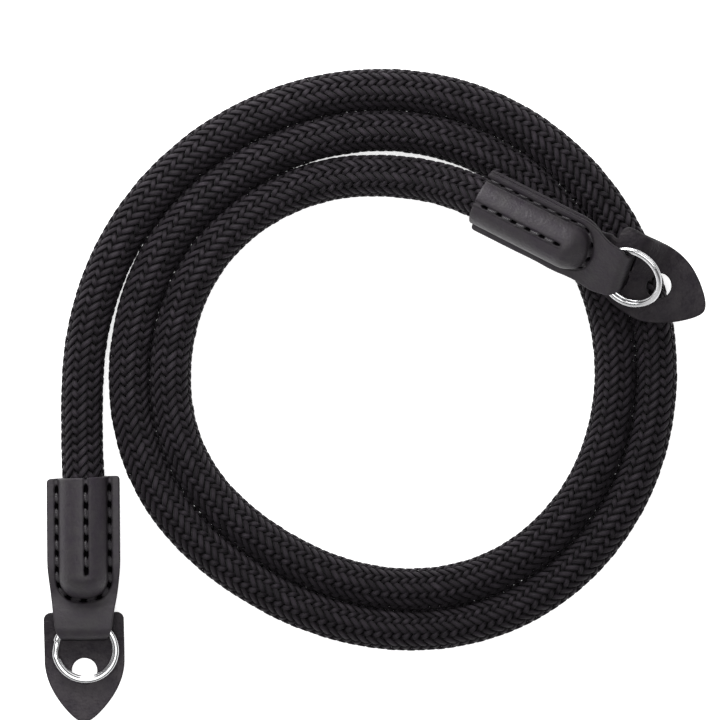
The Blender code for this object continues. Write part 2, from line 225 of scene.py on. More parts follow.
# %% Helpers for node networks
def new_finish(name, colour, roughness, **sockets):
    """A material with one Principled shader; the constants go straight onto the shader's own sockets."""
    made = bpy.data.materials.new(name)
    made.use_nodes = True
    shader = made.node_tree.nodes["Principled BSDF"]
    shader.inputs["Base Color"].default_value = (*colour, 1.0)
    shader.inputs["Roughness"].default_value = roughness
    for socket, value in sockets.items():
        shader.inputs[socket.replace("_", " ")].default_value = value
    return made, made.node_tree, shader


def add_node(tree, kind, inputs=None, **settings):
    """A node of a kind, with its settings and with its inputs set to a value or linked to another socket."""
    node = tree.nodes.new(kind)
    for key, value in settings.items():
        setattr(node, key, value)
    for key, value in (inputs or {}).items():
        if isinstance(value, bpy.types.NodeSocket):
            tree.links.new(value, node.inputs[key])
        else:
            node.inputs[key].default_value = value
    return node


def sum_up(tree, operation, first, second=0.0):
    """The result of one step of arithmetic on two values."""
    return add_node(tree, "ShaderNodeMath", {0: first, 1: second}, operation=operation).outputs[0]


def times(tree, first, second):
    """The product of two values."""
    return sum_up(tree, "MULTIPLY", first, second)


def stretch(tree, value, low, high, start=0.0, end=1.0, **settings):
    """A value that goes from low to high while the given one goes from start to end."""
    ends = {"Value": value, "From Min": start, "From Max": end, "To Min": low, "To Max": high}
    return add_node(tree, "ShaderNodeMapRange", ends, **settings).outputs["Result"]


def mix_colours(tree, share, first, second):
    """First colour at share 0, second at share 1."""
    node = add_node(tree, "ShaderNodeMix", data_type="RGBA")
    for key, value in (("Factor", share), ("A", first), ("B", second)):
        socket = next(s for s in node.inputs if s.name == key and s.type in {"VALUE" if key == "Factor" else "RGBA"})
        if isinstance(value, bpy.types.NodeSocket):
            tree.links.new(value, socket)
        else:
            socket.default_value = value if key == "Factor" else (*value, 1.0)
    return next(s for s in node.outputs if s.type == "RGBA")


def bump(tree, shader, height, strength, distance):
    """Roughens the shader's surface by a height field, in metres of distance."""
    node = add_node(tree, "ShaderNodeBump", {"Height": height, "Strength": strength, "Distance": distance})
    tree.links.new(node.outputs["Normal"], shader.inputs["Normal"])


# %% [markdown]
# ## The rope's route
#
# The rope leaves the left leather, swings round in turns that each lie inside the last one, and climbs over
# the inner turns into the right leather. It is told as a bearing, a distance and a height from the coil's
# middle, which is how one would walk round it with a tape, and a spline joins the places. Each end follows
# the axis of its leather socket.

# %% The two end fittings
SOCKET_AXIS = 6.55
COIL_MIDDLE = np.array([-0.26, 22.5, 0.0])
MOUTH = {"left": (-72.1, -30.0, SOCKET_AXIS), "right": (27.1, 39.2, 12.85)}
TURN_DEG = {"left": (0.0, 0.0, -89.6), "right": (40.0, 12.5, -27.5)}  # roll, climb, heading


def rotation(roll_deg, climb_deg, heading_deg):
    """The matrix that rolls about x, climbs towards z, then turns about z to a heading."""
    angles = np.radians((roll_deg, climb_deg, heading_deg))
    (cr, sr), (cc, sc), (ch, sh) = [(math.cos(angle), math.sin(angle)) for angle in angles]
    roll = np.array([[1, 0, 0], [0, cr, -sr], [0, sr, cr]])
    climb = np.array([[cc, 0, -sc], [0, 1, 0], [sc, 0, cc]])
    heading = np.array([[ch, -sh, 0], [sh, ch, 0], [0, 0, 1]])
    return heading @ climb @ roll


FITTING_TURN = {side: rotation(*TURN_DEG[side]) for side in MOUTH}
MOUTH_MIDDLE = np.array([0.0, 0.0, SOCKET_AXIS])
FITTING_PLACE = {side: COIL_MIDDLE + MOUTH[side] - FITTING_TURN[side] @ MOUTH_MIDDLE for side in MOUTH}


def from_fitting(side, points):
    """Points in a fitting's own frame, put in their place on the table."""
    return points @ FITTING_TURN[side].T + FITTING_PLACE[side]


print("mouths at", {side: from_fitting(side, MOUTH_MIDDLE).round(2).tolist() for side in MOUTH})

# %% Places along the route
ROPE_IN_SOCKET = 25.2
ROPE_LAY = 5.2
TURN_STEP = 10.2
LEAD_IN = (
    # bearing_deg, distance, height
    (197.0, 75.7, 5.5), (190.0, 73.6, 5.2), (180.0, 71.9, 5.2),
)
FIRST_TURN = (
    # bearing_deg, distance
    (150.0, 68.6), (120.0, 66.6), (90.0, 66.8), (60.0, 68.2), (30.0, 69.3), (0.0, 70.9),
    (-30.0, 72.7), (-60.0, 72.0), (-90.0, 67.4), (-120.0, 63.5), (-150.0, 62.8), (-180.0, 60.4),
)
LEAD_OUT = (
    # bearing_deg, distance, height
    (-618.0, 45.5, 5.5), (-630.0, 45.3, 6.3), (-640.0, 45.5, 7.4), (-652.0, 46.4, 9.2),
)
LAST_NESTED_BEARING = -600.0


def socket_rows(side, whole_turns):
    """Bearing, distance and height of four places on a socket's axis, counted on by whole turns."""
    along = np.linspace(0.0, ROPE_IN_SOCKET, 4)
    axis = from_fitting(side, np.stack([along, 0 * along, 0 * along + SOCKET_AXIS], axis=-1)) - COIL_MIDDLE
    bearing = np.degrees(np.arctan2(axis[:, 1], axis[:, 0])) + 360.0 * whole_turns
    return np.stack([bearing, np.hypot(axis[:, 0], axis[:, 1]), axis[:, 2]], axis=-1).tolist()


def nested_rows():
    """The first turn's places, and again one and two turns on, each time one rope further in."""
    rows = [(b - 360.0 * turn, r - TURN_STEP * turn, ROPE_LAY) for turn in range(3) for b, r in FIRST_TURN]
    return [row for row in rows if row[0] >= LAST_NESTED_BEARING]


route_rows = socket_rows("left", 1) + list(LEAD_IN) + nested_rows() + list(LEAD_OUT) + socket_rows("right", -2)
start_bearing = max(row[0] for row in route_rows)
end_bearing = min(row[0] for row in route_rows)
bearing = np.linspace(start_bearing, end_bearing, 4200)
distance, height = natural_spline(route_rows, bearing).T
middle_line = COIL_MIDDLE + np.stack(
    [distance * np.cos(np.radians(bearing)), distance * np.sin(np.radians(bearing)), height], axis=-1
)
walked = np.r_[0.0, np.cumsum(np.linalg.norm(np.diff(middle_line, axis=0), axis=1))]
ROPE_LENGTH = walked[-1]
print(f"rope: {ROPE_LENGTH:.1f} mm from end to end")

# %% Directions along the route
ahead = np.gradient(middle_line, walked, axis=0)
ahead /= np.linalg.norm(ahead, axis=1)[:, None]
up = np.array([0.0, 0.0, 1.0]) - ahead[:, 2:] * ahead
up /= np.linalg.norm(up, axis=1)[:, None]
outward = np.cross(up, ahead)
route_table = np.hstack([middle_line, outward, up])
print("route:", len(route_table), "places, each with its outward and its upward direction")


def on_rope(along, turn, radius):
    """Points at a distance along the rope, at a turn round it from its outer side towards its top.

    Point = middle line + radius * (cos turn * outward + sin turn * up).
    """
    read = np.stack([np.interp(along, walked, column) for column in route_table.T], axis=-1)
    line, out, top = read[..., :3], read[..., 3:6], read[..., 6:]
    return line + radius[..., None] * (np.cos(turn)[..., None] * out + np.sin(turn)[..., None] * top)


# %% [markdown]
# ## The rope's core
#
# Under its cover the rope has a soft core of straight yarns. Only slits of it would show between the
# strands, so it is one plain tube that keeps the cover from being see-through.

# %% Core
core_finish, core_tree, core_shader = new_finish("rope_core", (0.004, 0.0038, 0.004), 0.9)
core_cloud = add_node(core_tree, "ShaderNodeTexNoise", {"Scale": 900.0, "Detail": 3.0})
core_tree.links.new(
    mix_colours(core_tree, core_cloud.outputs["Fac"], (0.003, 0.0028, 0.003), (0.006, 0.0055, 0.006)),
    core_shader.inputs["Base Color"],
)
CORE_RADIUS = 4.2
CORE_SIDES = 16
CORE_STATIONS = 330
core_along = np.linspace(0.0, ROPE_LENGTH, CORE_STATIONS)
core_turn = np.linspace(0.0, 2.0 * np.pi, CORE_SIDES, endpoint=False)
core_along_grid, core_turn_grid = np.meshgrid(core_along, core_turn, indexing="ij")
core_points = on_rope(core_along_grid, core_turn_grid, np.full(core_turn_grid.shape, CORE_RADIUS)).reshape(-1, 3)
core_mesh = make_mesh("rope_core", core_points, tube_faces(CORE_STATIONS, CORE_SIDES), core_finish)
core = make_piece("rope_core", core_mesh, "strap", ["rope"])


# %% [markdown]
# ## The braided cover
#
# Thirty-two strands make the cover, sixteen winding each way. Each strand goes over two of the others and
# then under two, so the places where one hand lies on top line up into columns along the rope: eight columns
# of longer floats leaning one way and eight of shorter ones leaning the other, which gives the herringbone.
# A texture could draw this, but the outline of the rope would stay smooth. So each strand is a small band of
# its own that rises and dives, and the bumps, the crevices and the shadows between floats are real.

# %% How a strand winds
STRANDS_A_HAND = 16
STRAND_STEP = 360.0 / STRANDS_A_HAND  # degrees round the rope from one strand of a hand to the next
PERIOD = 2.0 * STRAND_STEP  # degrees in which a strand goes once over and once under
STRAND_PITCH = 2.33  # millimetres of rope from one strand of a hand to the next
TURN_RATE = STRAND_STEP / STRAND_PITCH  # degrees of turn for each millimetre of rope
BRAID_RADIUS = 4.95
LEAN = math.atan(BRAID_RADIUS * math.radians(TURN_RATE))
COLUMN_CENTRE = {1: 5.625, -1: 28.125}  # degrees round the rope, for the right and the left hand
FLOAT_SPAN = {1: 28.5, -1: 16.5}  # degrees that a strand spends on top
OVER_AT = {1: (0.0, 0.12, 0.35, 0.65, 0.88, 1.0), -1: (0.0, 0.2, 0.5, 0.8, 1.0)}  # shares of a float
UNDER_AT = {1: (0.5,), -1: (0.33, 0.67)}  # shares of the way below
PLUMPNESS = 0.10
TONE_SPREAD = 0.22
print(f"strands lean {math.degrees(LEAN):.1f} degrees from the rope's length")


def float_stations(hand):
    """One period of a strand: its turn in degrees, and its rise from -1, deepest, to 1, highest.

    On top the rise is the square root of a sine arch, and below it is the same arch upside down.
    """
    over, under = np.array(OVER_AT[hand]), np.array(UNDER_AT[hand])
    span = FLOAT_SPAN[hand]
    turn = np.r_[(over - 0.5) * span, span / 2 + under * (PERIOD - span)]
    rise = np.r_[np.sqrt(np.clip(np.sin(np.pi * over), 0, 1)), -np.sqrt(np.sin(np.pi * under))]
    return turn, rise


def strand_lines(hand, start, end):
    """Distances along the rope, turns, rises and tones for every strand of a hand: strands by stations.

    A strand turns round the rope at an even rate. Each of its floats is a little plumper or flatter and a
    little lighter or darker than the others, by chance.
    """
    turn, rise = float_stations(hand)
    strand = np.arange(STRANDS_A_HAND)[:, None, None]
    lead = hand * (COLUMN_CENTRE[hand] - STRAND_STEP * strand)
    first = np.ceil((TURN_RATE * start - lead - turn[0]) / PERIOD)
    periods = np.arange(int((end - start) * TURN_RATE / PERIOD) - 1)[None, :, None]
    along = (PERIOD * (first + periods) + turn + lead) / TURN_RATE
    angle = STRAND_STEP * strand + hand * TURN_RATE * along
    plump = 1.0 + PLUMPNESS * chance.standard_normal(along.shape[:2])[..., None]
    tone = 0.5 + TONE_SPREAD * chance.standard_normal(along.shape[:2])[..., None] + 0 * along
    rise = rise * np.clip(plump, 0.8, 1.2) + 0 * along
    return [values.reshape(STRANDS_A_HAND, -1) for values in (along, np.radians(angle), rise, tone)]


# %% How the rope is pressed
# Bearing in degrees, and how fully the rope touches the next turn there
TOUCH_OUTSIDE = ((-175.0, 0.0), (-195.0, 1.0), (-600.0, 1.0), (-616.0, 0.0))
TOUCH_INSIDE = ((185.0, 0.0), (150.0, 1.0), (-235.0, 1.0), (-262.0, 0.0))
PRESSED_BY_TURN = 0.09
PRESSED_BY_TABLE = 0.14


def read_back(rows, at):
    """A table with falling first column, read at the places in at."""
    rows = np.array(rows)[::-1]
    return np.interp(at, rows[:, 0], rows[:, 1])


def pressed(along, turn):
    """How far the cover gives way, in millimetres, where it touches the next turn or lies on the table.

    A touch at the side falls off as the fourth power of the cosine of the angle away from it, and the one
    with the table as the sixth power.
    """
    where = np.interp(along, walked, bearing)
    outside = read_back(TOUCH_OUTSIDE, where) * np.clip(np.cos(turn), 0, 1) ** 4
    inside = read_back(TOUCH_INSIDE, where) * np.clip(-np.cos(turn), 0, 1) ** 4
    below = np.clip(-np.sin(turn), 0, 1) ** 6
    return PRESSED_BY_TURN * outside + PRESSED_BY_TURN * inside + PRESSED_BY_TABLE * below


print(f"half way along, the table presses the cover in by {pressed(ROPE_LENGTH / 2, -math.pi / 2):.2f} mm")


# %% How a strand is built
BRAID_MIDDLE = 4.47
BRAID_SWING = 0.31
BRAID_DEPTH = 1.1
STRAND_HALF_WIDTH = 0.78
STRAND_HEIGHT = 0.5
ACROSS = np.array([-1.0, -0.5, 0.5, 1.0])
CROWN = np.array([0.0, 1.0, 1.0, 0.0])
COVER_MARGIN = 12.0  # how far inside its leather the cover ends


def braid_layer(hand, start, end):
    """All strands of one hand as closed bands: strands by stations by the four corners of the section.

    Radius = middle + swing * rise + height * crown. Across the strand, a step moves it back along the rope
    by the sine of its lean and round the rope by the cosine. A strand is narrower and thinner where it dives.
    """
    along, turn, rise, tone = strand_lines(hand, start, end)
    full = np.clip(rise, 0.0, 1.0)
    width = STRAND_HALF_WIDTH * (0.8 + 0.2 * full)[..., None] * ACROSS
    base = BRAID_MIDDLE + BRAID_SWING * rise
    tall = STRAND_HEIGHT * (0.78 + 0.22 * full)[..., None] * CROWN
    place = along[..., None] - hand * width * math.sin(LEAN)
    angle = turn[..., None] + width * math.cos(LEAN) / BRAID_RADIUS
    radius = base[..., None] + tall - pressed(place, angle)
    highest = BRAID_MIDDLE + BRAID_SWING + STRAND_HEIGHT
    # how far the strand lies under the highest crown; the finish turns this into painted shade
    depth = np.clip((highest - base[..., None] - tall) / BRAID_DEPTH, 0.0, 1.0)
    on_strand = along[..., None] / math.cos(LEAN) + 0 * width
    fields = {
        "weave": np.stack([0 * width + ACROSS, on_strand, depth], axis=-1).reshape(-1, 3),
        "tone": (tone[..., None] + 0 * width).reshape(-1),
    }
    return on_rope(place, angle, radius), fields


def make_braid(name, hand, finish):
    """One hand of the cover as a single piece, its strands closed at both ends inside the leather."""
    points, fields = braid_layer(hand, COVER_MARGIN, ROPE_LENGTH - COVER_MARGIN)
    strands, stations, corners = points.shape[:3]
    mesh = make_mesh(name, points.reshape(-1, 3), tube_faces(stations, corners, strands), finish, fields)
    return make_piece(name, mesh, "strap")


# %% [markdown]
# ## The braid's finish
#
# Each strand is a flat bundle of fine black nylon filaments. They run along the strand and catch the light as
# thin lines. In the crevices, where little light gets in, painted shade takes them almost to black. The finish
# reads the strand's own coordinates: across it, along it, and how far down it lies.

# %% Braid finish
def braid_finish():
    """Black filaments: a fine ripple across the strand, broken up along it, and painted shade that grows with depth."""
    made, tree, shader = new_finish(
        "black_braid", (0.012, 0.011, 0.012), 0.62, Sheen_Weight=0.03, Sheen_Roughness=0.5, Specular_IOR_Level=0.15
    )
    weave = add_node(tree, "ShaderNodeAttribute", attribute_name="weave")
    split = add_node(tree, "ShaderNodeSeparateXYZ", {"Vector": weave.outputs["Vector"]})
    tone = add_node(tree, "ShaderNodeAttribute", attribute_name="tone")
    across, on_strand, depth = split.outputs
    stretched = add_node(tree, "ShaderNodeCombineXYZ", {0: times(tree, across, 4.0), 1: times(tree, on_strand, 0.7)})
    hairs = add_node(tree, "ShaderNodeTexNoise", {"Vector": stretched.outputs[0], "Scale": 1.6, "Detail": 4.0})
    ripple = sum_up(tree, "SINE", times(tree, across, 15.0))
    height = sum_up(tree, "ADD", times(tree, ripple, 0.3), hairs.outputs["Fac"])
    bump(tree, shader, height, 0.6, 0.00012)
    lit = mix_colours(tree, tone.outputs["Fac"], (0.01, 0.0079, 0.0104), (0.0222, 0.0177, 0.023))
    # painted shade: the lower a strand lies, the nearer its colour goes to black, and its gloss fades with it
    painted_shade = times(tree, sum_up(tree, "POWER", depth, 0.5), 0.985)
    glint = times(tree, sum_up(tree, "SUBTRACT", 1.0, painted_shade), 0.15)
    tree.links.new(glint, shader.inputs["Specular IOR Level"])
    tree.links.new(mix_colours(tree, painted_shade, lit, (0.0007, 0.0006, 0.0007)), shader.inputs["Base Color"])
    return made


black_braid = braid_finish()
longer_floats = make_braid("braid_right_lay", 1, black_braid)
shorter_floats = make_braid("braid_left_lay", -1, black_braid)

# %% The rope's length
print(f"declared: a free cord of {ROPE_LENGTH * MM:.3f} m")

# %% [markdown]
# ## The folded tabs
#
# Each rope end is held by one strip of leather. It lies over the rope as a dome, runs on past the rope's end,
# folds back under itself round the ring, and comes back under the rope as a second dome. A loft of a few
# drawn sections would do it, but here the leather's height is one formula of the distance along the strip
# and across it, so that the outer and the inner face, the rounded edges and the seams all follow from it.

# %% Measures of the strip
LEATHER = 1.1
LAYER_GAP = 0.1
SOCKET_RADIUS = 5.4
SOCKET_STRAIGHT = 24.0
SOCKET_END = 30.6
DOME_END_POWER = 2.3
DOME_FILLET = 0.3
LOOP_DROP = {"left": 2.0, "right": 1.2}
FOLD_TOP = 6.95
FOLD_BOTTOM = {"left": 0.55, "right": 1.85}
FOLD_END = 41.0
# Where each change starts along the strip, and how long it takes
DOME_SINKS = (25.2, 5.8)
FLANGE_SINKS = (21.0, 11.0)
FRONT_OPENS = {"left": (28.6, 7.4), "right": (28.6, 7.0)}
BACK_OPENS = (30.6, 3.1)
LOOP_LEANS = (26.0, 10.0)
LOOP_LEAN = {"left": -0.2, "right": -1.5}
STRIP_HALF_WIDTH = 9.1
STRIP_OUTLINE = {
    # distance along, half-width, on the front (1) and on the back (-1)
    1: ((-3.0, 9.1), (22.5, 9.1), (28.2, 8.5), (33.7, 7.65), (36.7, 7.2), (40.0, 6.8)),
    -1: ((-3.0, 9.1), (22.5, 9.1), (28.2, 8.4), (32.0, 6.6), (34.5, 5.5), (40.0, 5.3)),
}
FOLD_OUTLINE = {
    # turn in degrees from the top of the loop, half-width
    "left": ((0.0, 7.2), (20.0, 6.9), (38.0, 6.55), (50.0, 6.2), (60.0, 5.9), (72.0, 5.66), (90.0, 5.6)),
    "right": ((0.0, 7.2), (18.0, 6.85), (34.0, 6.2), (44.0, 5.8), (56.0, 5.62), (72.0, 5.5), (90.0, 5.4)),
}
STRIP_TRIM = {
    # distance along, how much narrower the front's right half is cut
    "left": ((0.0, 0.0), (40.0, 0.0)),
    "right": (
        (0.0, 0.0), (12.0, 0.05), (18.0, 0.2), (22.0, 0.0), (27.0, -0.7), (31.0, -0.9), (35.0, -0.5), (38.0, 0.0),
    ),
}
STRIP_CORNER = 1.0
MOUTH_SLANT = {"left": -0.04, "right": 0.0}
EDGE = 0.36  # width of the rounding at a cut edge


def dome_height(along, across, level, raised=0.0):
    """Height of the leather over the seam plane, at level 0 on its inner face and 1 on its outer face.

    Round the rope it is a circle. Past the straight part the circle closes like a thumb, by adding the
    distance past it to the distance across with powers of 2.3. The dome may stand raised over the plane. A
    flat flange lies round it, and the larger of the two heights counts, with the corner between them rounded.
    """
    radius = SOCKET_RADIUS + LEATHER * level
    reach = SOCKET_END - SOCKET_STRAIGHT + LEATHER * (level - 0.5)
    past = np.clip(along - SOCKET_STRAIGHT, 0.0, None) * radius / reach
    off_axis = (np.abs(across) ** DOME_END_POWER + past**DOME_END_POWER) ** (1.0 / DOME_END_POWER)
    circle = np.sqrt(np.clip(radius**2 - off_axis**2, 0.0, None))
    circle = circle + raised * smooth_step(circle / 2.0)
    flange = LAYER_GAP / 2 + LEATHER * level
    return (circle + flange + np.sqrt((circle - flange) ** 2 + DOME_FILLET**2)) / 2


def change(along, start_and_reach):
    """How far a change has come at a distance along the strip, from 0 to 1."""
    start, reach = start_and_reach
    return smooth_step((along - start) / reach)


def layer_point(side, face, along, across, level):
    """A point of the front (face 1) or back (face -1) layer, in the fitting's frame.

    Height = seam plane + face * dome height, and it passes over into the loop's level top or bottom. The
    flanges sink towards the loop earlier than the dome does. The loop leans to one side, and the mouth is cut
    a little slanted.
    """
    dome_plane = SOCKET_AXIS - LOOP_DROP[side] * change(along, DOME_SINKS)
    seam_plane = SOCKET_AXIS - LOOP_DROP[side] * change(along, FLANGE_SINKS)
    sewn = seam_plane + face * dome_height(along, across, level, face * (dome_plane - seam_plane))
    flat = FOLD_TOP if face > 0 else FOLD_BOTTOM[side]
    opened = flat + face * LEATHER * (level - 0.5)
    share = change(along, FRONT_OPENS[side] if face > 0 else BACK_OPENS)
    lean = LOOP_LEAN[side] * change(along, LOOP_LEANS)
    slant = MOUTH_SLANT[side] * across * (1.0 - smooth_step(along / 20.0))
    return np.stack([along + slant, across + lean, sewn + (opened - sewn) * share], axis=-1)


print("dome over the rope:", round(float(dome_height(10.0, 0.0, 1.0)), 2), "mm high on each face")

# %% [markdown]
# ## Where the seams run
#
# Two rows of stitches hold each tab: one along both flanges and round the dome's blunt end, and a short one
# along the dome. The thread pulls the leather down into a groove, and at every hole it is dragged into a
# small pit, which painted shade makes dark. So the seams are worked out first, as lines with a length of their
# own, and the leather asks for each of its points how far it is from a seam and how far along.

# %% Seam lines
STITCH = 4.0
SEAM_OFFSET = {"left": (6.6, 6.6), "right": (6.6, 7.2)}  # from the middle of the strip, to its right and left
SEAM_BOW_START = 24.5
SEAM_BOW_REACH = 6.3
SEAM_BOW_POWER = 2.4
RIDGE_SEAM = {"left": 1.05, "right": 2.45}
RIDGE_SEAM_END = 23.8
FIRST_HOLE = {"left": (2.95, 2.95), "right": (2.2, 3.1)}  # on the seam round the dome, and on the ridge seam
PIT = {"left": ((0.42, 1.05), (0.5, 1.2)), "right": ((0.27, 0.75), (0.34, 0.9))}  # half-width, half-length
PIT_DEPTH = 0.6
GROOVE_DEPTH = 0.16
GROOVE_WIDTH = 0.62


def even_line(line):
    """The same line with its points 0.1 mm apart, and each point's distance along it as a third column."""
    run = np.r_[0.0, np.cumsum(np.linalg.norm(np.diff(line, axis=0), axis=1))]
    at = np.linspace(0.0, run[-1], int(run[-1] / 0.1) + 1)
    return np.stack([np.interp(at, run, line[:, 0]), np.interp(at, run, line[:, 1]), at], axis=-1)


def rim_seam(side):
    """The seam round the dome: straight along the flanges, and a superellipse of power 2.4 round the end."""
    low, high = SEAM_OFFSET[side]
    turn = np.linspace(-np.pi / 2, np.pi / 2, 400)
    bow = SEAM_BOW_START + SEAM_BOW_REACH * np.cos(turn) ** (2 / SEAM_BOW_POWER)
    swing = signed_power(np.sin(turn), 2 / SEAM_BOW_POWER)
    straight = np.linspace(0.0, SEAM_BOW_START - 0.1, 200)
    line = np.vstack(
        [
            np.stack([straight, 0 * straight - low], axis=-1),
            np.stack([bow, (high + low) / 2 * swing + (high - low) / 2], axis=-1),
            np.stack([straight[::-1], 0 * straight + high], axis=-1),
        ]
    )
    return even_line(line)


def ridge_seam(side):
    """The short seam along the dome, a little off its ridge."""
    along = np.linspace(0.0, RIDGE_SEAM_END, 60)
    return even_line(np.stack([along, 0 * along + RIDGE_SEAM[side]], axis=-1))


def seam_lines(side):
    """Both seams of a tab, each with the place of its first hole."""
    return list(zip((rim_seam(side), ridge_seam(side)), FIRST_HOLE[side]))


print("seams:", [round(float(line[-1, 2]), 1) for line, _ in seam_lines("left")], "mm long")


# %% What the seams do to the leather
def nearest_on(line, places):
    """For each place, its distance to the nearest point of a line and that point's distance along it."""
    best = np.full(len(places), 1e9)
    run = np.zeros(len(places))
    for part in np.array_split(line, 12):
        gap = np.linalg.norm(places[:, None] - part[None, :, :2], axis=-1)
        nearest = gap.argmin(axis=1)
        found = gap[np.arange(len(places)), nearest]
        closer = found < best
        best = np.where(closer, found, best)
        run = np.where(closer, part[nearest, 2], run)
    return best, run


def seam_marks(side, along, across):
    """Depth of the leather's face under its plain shape, in millimetres, and how much painted shade the place gets.

    Depth = a bell-shaped groove + at each hole an oval pit with steep sides. The pits are darkened with painted
    shade, and the groove's two shoulders half as much.
    """
    places = np.stack([along.ravel(), across.ravel()], axis=-1)
    depth = np.zeros(len(places))
    dark = np.zeros(len(places))
    for (line, first_hole), (pit_width, pit_length) in zip(seam_lines(side), PIT[side]):
        gap, run = nearest_on(line, places)
        from_hole = (run - first_hole + STITCH / 2) % STITCH - STITCH / 2
        oval = np.sqrt((gap / pit_width) ** 2 + (from_hole / pit_length) ** 2)
        pit = smooth_step(1.45 - oval)
        depth = np.maximum(depth, GROOVE_DEPTH * bell(gap / GROOVE_WIDTH) + PIT_DEPTH * pit)
        # painted shade: the pits go dark, and the groove's two shoulders half as much
        shoulder = 0.5 * bell((gap - GROOVE_WIDTH) / 0.22)
        dark = np.maximum(dark, np.maximum(smooth_step((1.55 - oval) / 0.5), shoulder))
    return depth.reshape(along.shape), dark.reshape(along.shape)


print(f"grooves {GROOVE_DEPTH} mm deep, holes {PIT_DEPTH} mm")


# %% The strip's rows and columns
FACE_COLUMNS = 100
EDGE_COLUMNS = 7
LAYER_ROWS = 138
LAYER_END = 36.2


def rounded_edge(count):
    """Points round a cut edge: share of the edge's width gone, and level from 1 over one half to 0."""
    turn = np.linspace(0.0, np.pi, count + 2)[1:-1]
    return np.sin(turn) ** 0.75, 0.5 + 0.5 * signed_power(np.cos(turn), 0.75)


def strip_columns(side):
    """One loop round the strip's section: share of the half-width, share of the edge gone, and level."""
    ridge = RIDGE_SEAM[side] / STRIP_HALF_WIDTH

    def wanted_step(q):
        return 0.029 - 0.015 * bell((np.abs(q) - 0.7) / 0.07) - 0.014 * bell((q - ridge) / 0.07)

    face = spread(-1.0, 1.0, wanted_step, FACE_COLUMNS)
    gone, level = rounded_edge(EDGE_COLUMNS)
    share = np.r_[face, np.ones(EDGE_COLUMNS), face[::-1], -np.ones(EDGE_COLUMNS)]
    edge = np.r_[0 * face, gone, 0 * face, gone]
    levels = np.r_[0 * face + 1.0, level, 0 * face, level[::-1]]
    return share, edge, levels


def strip_rows():
    """Distances along a layer, closer together at the rounded mouth and round the dome's end."""

    def wanted_step(s):
        return 0.36 - 0.17 * bell((s - 28.5) / 4.0) - 0.28 * bell(s / 0.35)

    return spread(0.0, LAYER_END, wanted_step, LAYER_ROWS)


def place_across(half, share, edge):
    """Distances across a strip of a half-width, at shares of it and at shares of the rounding at its edges."""
    return share * (half - EDGE) + np.sign(share) * edge * EDGE


print("strip:", len(strip_columns("left")[0]), "points round its section,", len(strip_rows()), "rows to a layer")


# %% One layer of a tab
def layer_rows(side, face):
    """A layer's points from its mouth to the loop, and how much painted shade each gets.

    The half-width is cut back by a quarter circle at the mouth's corners. Near the mouth the level shrinks
    towards the middle of the leather, along a superellipse of power 2.6, which rounds the cut end.
    """
    share, edge, level = strip_columns(side)
    rows = strip_rows()[:, None]
    short = np.clip(STRIP_CORNER - rows, 0.0, STRIP_CORNER)
    half = soft_table(STRIP_OUTLINE[face], rows, 2.0) - STRIP_CORNER + np.sqrt(STRIP_CORNER**2 - short**2)
    half = half - soft_table(STRIP_TRIM[side], rows, 2.0) * (share < 0.0) * (face > 0)
    across = place_across(half, share, edge)
    along = rows + 0 * across
    marks, dark = seam_marks(side, along, across)
    close = np.clip(1.0 - along / EDGE, 0.0, 1.0)
    shrink = np.clip(1.0 - close**2.6, 0.0, 1.0) ** (1 / 2.6)
    outer = level > 0.75
    layer_level = 0.5 + (level - 0.5) * np.maximum(shrink, 0.25) - np.where(outer, marks / LEATHER, 0.0)
    return layer_point(side, face, along, across, layer_level), dark * outer


print("front layer:", layer_rows("left", 1)[0].shape[:2], "rows and points to a row")


# %% The fold
def fold_rows(side):
    """The half turn that joins the layers round the ring, and how much painted shade each point gets.

    Each point goes round the fold's middle in a half circle, and the strip is squeezed narrower on its way.
    The far half of the outer face, where the bend turns under, is darkened by painted shade.
    """
    share, edge, level = strip_columns(side)
    radius = (FOLD_TOP - FOLD_BOTTOM[side]) / 2
    start = FOLD_END - LEATHER / 2 - radius
    turn = np.radians(np.linspace(0.0, 180.0, 37))[:, None]
    from_top = np.degrees(turn)
    across = place_across(soft_table(FOLD_OUTLINE[side], from_top, 6.0), share, edge)
    reach = radius + LEATHER * (level - 0.5)
    height = (FOLD_TOP + FOLD_BOTTOM[side]) / 2 + reach * np.cos(turn)
    points = np.stack([start + reach * np.sin(turn), across + LOOP_LEAN[side], height], axis=-1)
    # painted shade on the far half of the fold's outer face
    dark = 0.85 * smooth_step((from_top - 45.0) / 30.0) * smooth_step((150.0 - from_top) / 40.0)
    return points, dark * (level > 0.75)


print("fold:", fold_rows("left")[0].shape[:2], "rows and points to a row")


# %% One tab
def tab_points(side):
    """The whole folded strip as rows of closed section loops, with its painted shade and its cut edges.

    Rows run from the front mouth to the loop, round the fold and back to the back mouth.
    """
    (front, front_painted_shade), (back, back_painted_shade) = [layer_rows(side, face) for face in (1, -1)]
    fold, fold_painted_shade = fold_rows(side)
    points = np.concatenate([front, fold, back[::-1]])
    shade = np.concatenate([front_painted_shade, fold_painted_shade, back_painted_shade[::-1]])
    edge = strip_columns(side)[1]
    return points, shade, np.broadcast_to((edge > 0.5).astype(float), shade.shape)


def mouth_faces():
    """Faces that close a mouth: they join each point of the outer face to its partner on the inner face."""
    total = 2 * (FACE_COLUMNS + EDGE_COLUMNS)
    outer = np.arange(-(EDGE_COLUMNS + 1) // 2, FACE_COLUMNS + (EDGE_COLUMNS + 1) // 2)
    inner = (2 * FACE_COLUMNS + EDGE_COLUMNS - 1 - outer) % total
    outer = outer % total
    quads = np.stack([outer[1:-2], outer[2:-1], inner[2:-1], inner[1:-2]], axis=-1)
    ends = np.array([[outer[0], outer[1], inner[1]], [outer[-2], outer[-1], inner[-2]]])
    return quads, ends


